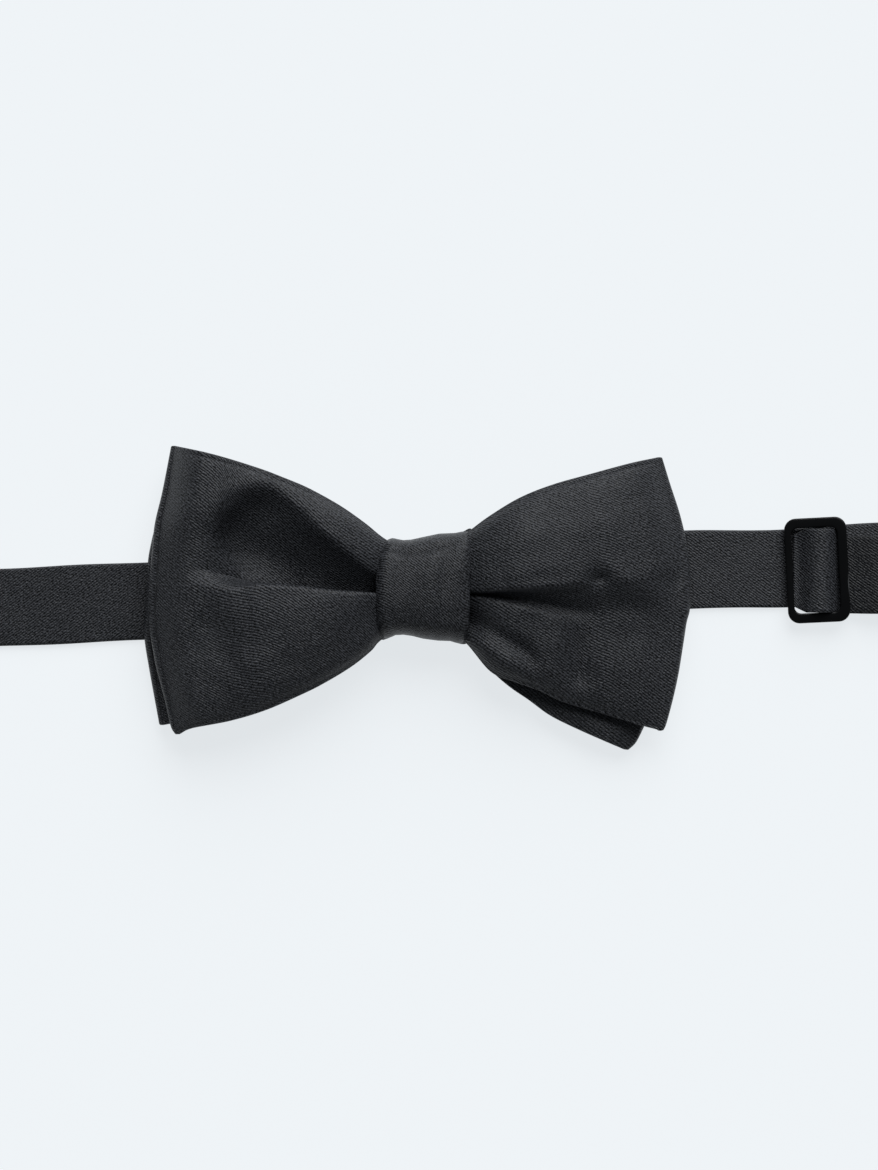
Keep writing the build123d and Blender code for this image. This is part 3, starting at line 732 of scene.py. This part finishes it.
for i in range(n_a):
    a = 2 * math.pi * i / n_a
    c, sn = math.cos(a), math.sin(a)
    up = sn >= 0
    n_e = 3.1 if up else 4.6
    ky = math.copysign(abs(c) ** (2 / n_e), c)
    kz = math.copysign(abs(sn) ** (2 / n_e), sn)
    for j, f in enumerate(xs):
        xg = f * 9.8
        yt = np.interp(xg, [p[0] for p in kn_top], [p[1] for p in kn_top]) - K_T / 2
        yb = np.interp(xg, [p[0] for p in kn_bot], [p[1] for p in kn_bot]) + K_T / 2
        yc_, hy = (yt + yb) / 2, (yt - yb) / 2
        roll = 1.0 - max(0.0, (abs(f) - 0.80) / 0.20) ** 2.2 * 0.085
        y = yc_ + hy * ky * (roll if up else 1.0)
        zc = 5.6
        top = 15.0 - 0.3 * f * f
        z = zc + (top - K_T / 2 - zc) * kz * roll if up else zc + (zc - K_T / 2 - 0.0) * kz
        xl = np.interp(y, [p[0] for p in kn_left], [p[1] for p in kn_left]) + K_T / 2 - 0.1
        xr = np.interp(y, [p[0] for p in kn_right], [p[1] for p in kn_right]) - K_T / 2 + 0.1
        x = xl + (xr - xl) * (f + 1) / 2
        if up:
            # soft lengthwise folds of the wrapped strip
            z += kz * (0.16 * math.sin(x * 0.62 + y * 0.11 + 0.6) + 0.10 * math.sin(x * 1.25 - y * 0.16))
            z += kz * 0.22 * noise.noise(Vector((x / 6.0, y / 7.0, 3.3)))
            ytr = np.interp(x, [-10, -3.3, 3.0, 10], [7.6, 6.7, 7.7, 9.4])
            z += kz * 0.50 / (1 + math.exp(-(y - ytr) / 0.85))
            z -= kz * 0.14 * math.exp(-((y - ytr + 2.0) / 1.9) ** 2)
            fade = 1 / (1 + math.exp((x - 6.5) / 1.5))
            z -= kz * 0.70 * fade * math.exp(-((y - ytr - 0.2) / 1.1) ** 2)
            z += kz * 0.25 * math.exp(-((y - ytr - 2.9) / 1.1) ** 2)
            z += kz * 0.22 * math.exp(-((y + 8.6) / 1.6) ** 2)
            z -= kz * 0.12 * math.exp(-((y + 6.2) / 1.9) ** 2)
        P[i, j] = (x, y, z)
        W[i, j] = x
d = np.linalg.norm(np.diff(P, axis=0), axis=-1).mean(1)
s = np.concatenate([[0], np.cumsum(d)])
knot = shell("knot_satin", P, W, s, K_T, SATIN_KNOT, True, groove=0.18)
lp, lw = inward(P, W, K_T / 2 + 0.22, True, 4)
knot_lining = shell("knot_lining", lp, lw, s, 0.30, LINING, True, groove=0.0)

# the thread wound round the waist lies just inside the knot's lining
tv, tf = [], []
deep, _ = inward(P, W, K_T / 2 + 0.70, True, 4)
for x0 in (-1.2, -0.4, 0.4, 1.2):
    j0 = int(round((x0 / 9.8 + 1) / 2 * (n_x - 1))) - 4
    loop = deep[:, j0]
    tan = unit(np.roll(loop, -1, 0) - np.roll(loop, 1, 0))
    side_ = np.tile(np.array([[1.0, 0, 0]]), (n_a, 1))
    side_ = unit(side_ - tan * (side_ * tan).sum(1, keepdims=True))
    upw = np.cross(tan, side_)
    base_i = len(tv)
    for i in range(n_a):
        for k in range(8):
            a = 2 * math.pi * k / 8
            tv.append(loop[i] + 0.24 * (side_[i] * math.cos(a) + upw[i] * math.sin(a)))
    for i in range(n_a):
        for k in range(8):
            i2, k2 = (i + 1) % n_a, (k + 1) % 8
            tf.append((base_i + i * 8 + k, base_i + i2 * 8 + k, base_i + i2 * 8 + k2, base_i + i * 8 + k2))
binding = mesh_object("binding_thread_turns", np.array(tv), tf, np.zeros((len(tv), 2)), THREAD)
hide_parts("waist_binding_thread")
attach(binding, "bow")
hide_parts("knot_interlining")
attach(knot_lining, "bow")
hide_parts("knot_cover")
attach(knot, "bow")

# ---------------------------------------------------------------- the neckband

BW, BT = 17.4, 1.15
LINE = [(-200.0, -8.2), (-93.0, -4.5), (-28.0, -1.6), (0.0, 0.0), (28.0, 2.6), (58.0, 3.85),
        (80.0, 4.1), (87.0, 4.6), (93.0, 5.3), (100.0, 5.8), (135.0, 6.2), (260.0, 6.2)]
_lx = np.array([p[0] for p in LINE])
_ly = np.array([p[1] for p in LINE])


def yc(x):
    # rounded version of the centre line
    tot = 0.0
    for k in (-4, -2, 0, 2, 4):
        tot += float(np.interp(x + k, _lx, _ly))
    return tot / 5


def zc_low(x):
    a = abs(x)
    return float(np.interp(a, [0, 11, 17, 24, 30], [1.22, 1.22, 0.58, 0.08, 0.05]))


EYE_X, HOOK_X, BAR_Z = -172.0, 187.0, 1.95
HOOK_Y = yc(182)
EYE_Y = yc(-164)


def band(name, x0, x1, centre, zfun, t=BT, width=BW, step=1.0, seed=0.0, amp=0.16, mat=SATIN_BAND, s0=0.0):
    n = max(3, int(abs(x1 - x0) / step) + 1)
    m = 25
    x = np.linspace(x0, x1, n)
    v = np.linspace(-1, 1, m)
    P = np.zeros((n, m, 3))
    for i, xx in enumerate(x):
        c = centre(xx)
        for j, f in enumerate(v):
            edge = 0.10 * math.sin(xx * 0.21 + seed + (2 if f > 0 else 0)) * abs(f) ** 3
            z = zfun(xx) + t / 2
            z += amp * (1 - f ** 4) * noise.noise(Vector((xx / 9.0 + seed, f * 1.4, seed * 1.7)))
            z -= 0.10 * (abs(f) ** 6) * (1 if t > 0.8 else 0)
            P[i, j] = (xx, c + f * (width / 2 - t / 2) + edge, max(z, t / 2 + 0.02))
    W = np.ones((n, 1)) * (v * width / 2)[None]
    return shell(name, P[::1], W, x - s0, t, mat, False, groove=0.42)


def path_cloth(name, pts, y_mid, width, t, mat=SATIN_BAND, groove=0.42, m=19, step=0.35, slope=0.0, taper=None):
    line = resample(pts, max(12, int(np.linalg.norm(np.diff(np.array(pts), axis=0), axis=1).sum() / step)))
    n = len(line)
    v = np.linspace(-1, 1, m)
    P = np.zeros((n, m, 3))
    for j, f in enumerate(v):
        P[:, j, 0] = line[:, 0]
        wd = np.full(n, float(width))
        if taper:
            wd = taper[0] + (width - taper[0]) * np.clip((line[:, 0] - line[0, 0]) / taper[1], 0, 1)
        P[:, j, 1] = y_mid + slope * (line[:, 0] - line[0, 0]) + f * (wd / 2 - t / 2)
        P[:, j, 2] = line[:, 1]
    s = np.concatenate([[0], np.cumsum(np.linalg.norm(np.diff(line, axis=0), axis=1))])
    W = np.ones((n, 1)) * (v * width / 2)[None]
    return shell(name, P, W, s + pts[0][0], t, mat, False, groove=groove)


def loop_path(xb, side, x_low, z_high, x_high, t, R):
    low = 0.05 + t / 2
    pts = [(x_low, low), (xb - side * 7.0, low), (xb - side * 4.5, low)]
    pts += [(xb - side * 3.2, low + 0.01), (xb - side * 1.9, low + 0.05)]
    for a in np.linspace(-100, 100, 22):
        pts.append((xb + side * R * math.cos(math.radians(a)), BAR_Z + R * math.sin(math.radians(a))))
    pts += [(xb - side * 2.4, BAR_Z + 0.86), (xb - side * 4.6, z_high + 0.25), (xb - side * 6.6, z_high), (x_high, z_high)]
    return pts


S_BREAK = -95.5
c_piece = band("band_behind_knot", -14.0, 14.0, yc, zc_low, t=0.95, seed=1.0)
l1 = band("band_left_a", -14.0, -47.0, yc, zc_low, seed=2.0)
l2 = band("band_left_b", -47.0, S_BREAK, yc, zc_low, seed=3.0)
l3 = band("band_left_c", S_BREAK, -121.0, yc, zc_low, seed=4.0)
r1 = band("band_right_a", 14.0, 47.0, yc, zc_low, seed=5.0)
r2 = band("band_right_b", 47.0, 86.0, yc, zc_low, seed=6.0)
X_SPLIT = 178.0
r3 = band("band_right_lower", 86.0, X_SPLIT, yc, zc_low, seed=7.0, amp=0.03)

tip_pts = loop_path(EYE_X, -1, -150.0, 0.05 + 1.0 + 0.12 + 0.5, EYE_X + 14.0, 1.0, 1.45)
tip_pts = [(-121.0, 0.05 + BT / 2), (-135.0, 0.57)] + tip_pts
tip = path_cloth("band_left_tip", tip_pts, yc(-121.0), BW, 1.0, slope=(yc(-164) - yc(-121)) / (-164 + 121))
fold_pts = loop_path(HOOK_X, 1, X_SPLIT, 0.05 + 1.2 + 0.1 + 0.5, X_SPLIT, 1.0, 1.45)
hook_fold = path_cloth("hook_strap_fold_satin", fold_pts, HOOK_Y, BW, 1.0)


def upper_y(x):
    t = max(0.0, min(1.0, (x - 96.0) / (157.0 - 96.0)))
    t = t * t * (3 - 2 * t)
    return 2.75 + (HOOK_Y - 2.75) * t


bx = 86.6 + 0.9 * math.cos(math.radians(5.6))
bz = 2.13 + 0.8 + 0.9 * math.sin(math.radians(5.6)) - 0.8 + 0.5
Z_UP = 0.05 + 1.2 + 0.1


def z_upper(x):
    # the strap comes out from under the slider's right bar and settles on the lower layer
    rise = max(0.0, min(1.0, (x - 92.0) / 9.0))
    fall = max(0.0, min(1.0, (x - 104.0) / 30.0))
    return Z_UP + 2.1 * rise * rise * (3 - 2 * rise) * (1 - fall * fall * (3 - 2 * fall))


# The returning strap takes the darker satin copy, which paints in the shade beside the slider.
upper = band("band_right_upper", 91.6, X_SPLIT, upper_y, z_upper, t=1.05, seed=8.0, amp=0.05, mat=SATIN_RETURN_PAINTED_SHADE)

hp = [(81.5, 1.72), (82.5, 1.86), (83.5, 2.45), (84.5, 3.35), (85.7, 4.25), (87.1, 4.75), (88.5, 4.62),
      (89.7, 3.85), (90.6, 2.85), (91.35, 2.12), (92.4, 1.95)]
arch = path_cloth("strap_arch", hp, 3.62, 18.6, 0.8, m=29, groove=0.25, taper=(15.9, 2.8))

# the strap's sewn end: it goes round the crossbar and laps over itself, where it is stitched down
na, ns = ((72, 25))
P = np.zeros((na, ns, 3))
for i in range(na):
    deg = -215 + 412 * i / (na - 1)
    grow = 0.43 * min(1.0, max(0.0, (deg - 112) / 30.0))
    a = math.radians(deg)
    for j, f in enumerate(np.linspace(1, -1, ns)):
        P[i, j] = (bx + (1.7 + grow) * math.cos(a), 3.73 + f * 7.9, bz + (1.08 + grow) * math.sin(a))
run = np.concatenate([[0], np.cumsum(np.linalg.norm(np.diff(P[:, 0], axis=0), axis=1))])
sleeve = shell("strap_end_sleeve", P, np.ones((na, 1)) * np.linspace(8.1, -8.1, ns)[None], run, 0.4, SATIN_BAND, False, groove=0.3)


def slider_ring(name):
    """The adjuster's frame: a rounded bar carried round between the window and the outline."""
    def outline(w, l, r, ox):
        pts = []
        for cx, cy, a0 in ((w / 2 - r, l / 2 - r, 0), (-w / 2 + r, l / 2 - r, 90), (-w / 2 + r, -l / 2 + r, 180), (w / 2 - r, -l / 2 + r, 270)):
            pts += [(ox + cx + r * math.cos(math.radians(a0 + a)), cy + r * math.sin(math.radians(a0 + a))) for a in np.linspace(0, 90, 17)]
        full = []
        for k in range(len(pts)):
            p, q = np.array(pts[k]), np.array(pts[(k + 1) % len(pts)])
            full.append(p)
            if (k + 1) % 17 == 0:
                full += [p + (q - p) * t for t in np.linspace(0, 1, 14)[1:-1]]
        return np.array(full)
    O, I = outline(13.7, 23.2, 2.6, 0.0), outline(10.1, 18.8, 1.5, -0.3)
    lean, tilt = math.radians(2.8), math.radians(-5.6)
    verts, faces, m = [], [], 32
    for o, i_ in zip(O, I):
        mid, half = (o + i_) / 2, (o - i_) / 2
        hw = np.linalg.norm(half)
        for k in range(m):
            a = 2 * math.pi * k / m
            c, sn = math.cos(a), math.sin(a)
            e = math.copysign(abs(c) ** 0.34, c)
            h = math.copysign(abs(sn) ** 0.34, sn)
            z = 0.8 * h
            p = mid + half * e
            # tilt about Y, then lean about Z, then into place
            x1, z1 = p[0] * math.cos(tilt) + z * math.sin(tilt), -p[0] * math.sin(tilt) + z * math.cos(tilt)
            x2, y2 = x1 * math.cos(lean) - p[1] * math.sin(lean), x1 * math.sin(lean) + p[1] * math.cos(lean)
            verts.append((86.6 + x2, 3.73 + y2, 2.93 + z1))
    n = len(O)
    for i in range(n):
        for k in range(m):
            a, b = i * m + k, i * m + (k + 1) % m
            c, d_ = ((i + 1) % n) * m + (k + 1) % m, ((i + 1) % n) * m + k
            faces.append((a, d_, c, b))
    return mesh_object(name, np.array(verts), faces, np.zeros((len(verts), 2)), ENAMEL)


slider_bar = slider_ring("slider_frame_enamelled")

for ob, bodies, nodes in (
        (c_piece, "bow", ("neckband_center",)),
        (l1, ("bow", "left_band_1", -22, -34), ()),
        (l2, ("left_band_1", "left_band_2", -60, -72), ("left_band_inner", "left_band_mid")),
        (l3, ("left_band_2", "left_band_3", -99, -111), ("left_band_outer",)),
        (tip, ("left_band_3", "left_band_4", -132, -144), ("left_band_tip",)),
        (r1, ("bow", "right_band_1", 22, 34), ("right_band_inner",)),
        (r2, ("right_band_1", "right_band_2", 60, 72), ()),
        (r3, ("right_band_2", "slider", 100, 2 * X_SPLIT - 100), ("right_band_outer", "right_band_lower_end")),
        (upper, ("right_band_2", "slider", 2 * X_SPLIT - 96, 96), ("right_band_upper_layer",)),
        (hook_fold, "hook_fold", ("hook_strap_fold",)),
        (arch, "slider", ("strap_over_crossbar",)),
        (sleeve, "slider", ("strap_end_loop",))):
    if nodes:
        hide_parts(*nodes)
    if isinstance(bodies, str):
        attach(ob, bodies)
    else:
        a, b, x0, x1 = bodies
        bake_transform(ob)

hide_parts("slider_frame")
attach(slider_bar, "slider")

# threads and the small metal pieces keep their modelled shapes
node_mats = {"knot_closing_stitches": THREAD, "eye_fold_stitches": THREAD,
             "slider_crossbar": ENAMEL, "hook": ENAMEL_HOOK, "eye_loop": ENAMEL_HOOK}
for nm, mt in node_mats.items():
    ob = N[nm]
    ob.data.materials.clear()
    ob.data.materials.append(mt)

# ---------------------------------------------------------------- studio
floor_m, nt, b = nodes_of("pale_table")
tn = nt.nodes.new("ShaderNodeTexNoise")
tn.inputs["Scale"].default_value = 6
tc = nt.nodes.new("ShaderNodeTexCoord")
nt.links.new(tc.outputs["Object"], tn.inputs["Vector"])
mx = nt.nodes.new("ShaderNodeMix")
mx.data_type = "RGBA"
mx.inputs[6].default_value = (0.190, 0.194, 0.195, 1)
mx.inputs[7].default_value = (0.198, 0.200, 0.201, 1)
nt.links.new(tn.outputs["Fac"], mx.inputs["Factor"])
nt.links.new(mx.outputs[2], b.inputs["Base Color"])
b.inputs["Roughness"].default_value = 0.75
b.inputs["Specular IOR Level"].default_value = 0.2
b.inputs["Emission Color"].default_value = (0.93, 0.97, 1.0, 1)
b.inputs["Emission Strength"].default_value = 0.784
me = bpy.data.meshes.new("table_top")
me.from_pydata([(-3, -3, -0.00005), (3, -3, -0.00005), (3, 3, -0.00005), (-3, 3, -0.00005)], [], [(0, 1, 2, 3)])
me.materials.append(floor_m)
floor = bpy.data.objects.new("table_top", me)
bpy.context.scene.collection.objects.link(floor)


def area(name, loc, target, size, size_y, power, colour):
    l = bpy.data.lights.new(name, "AREA")
    l.shape = "RECTANGLE"
    l.size, l.size_y = size, size_y
    l.energy = power
    l.color = colour
    o = bpy.data.objects.new(name, l)
    o.location = loc
    o.rotation_euler = (Vector(target) - Vector(loc)).to_track_quat("-Z", "Y").to_euler()
    bpy.context.scene.collection.objects.link(o)
    return o


sun = bpy.data.lights.new("window", "SUN")
sun.energy = 3.05
sun.angle = math.radians(54)
sun.color = (0.965, 0.985, 1.0)
so = bpy.data.objects.new("window", sun)
so.rotation_euler = Vector((0.24, 1.0, 0.78)).to_track_quat("Z", "Y").to_euler()
so.location = (0.1, 0.4, 0.5)
bpy.context.scene.collection.objects.link(so)
w = bpy.data.worlds.new("room")
w.use_nodes = True
w.node_tree.nodes["Background"].inputs["Color"].default_value = (0.86, 0.93, 1.0, 1)
w.node_tree.nodes["Background"].inputs["Strength"].default_value = 0.12
bpy.context.scene.world = w

cam_d = bpy.data.cameras.new("camera")
cam_d.lens = 100
cam_d.sensor_width = 36
cam = bpy.data.objects.new("camera", cam_d)
cam.location = (0.00307, 0.00044, 0.008 + 0.7128)
cam.rotation_euler = (0, 0, 0)
bpy.context.scene.collection.objects.link(cam)
bpy.context.scene.camera = cam
bpy.context.scene.view_settings.view_transform = "Standard"
bpy.context.scene.view_settings.look = "None"
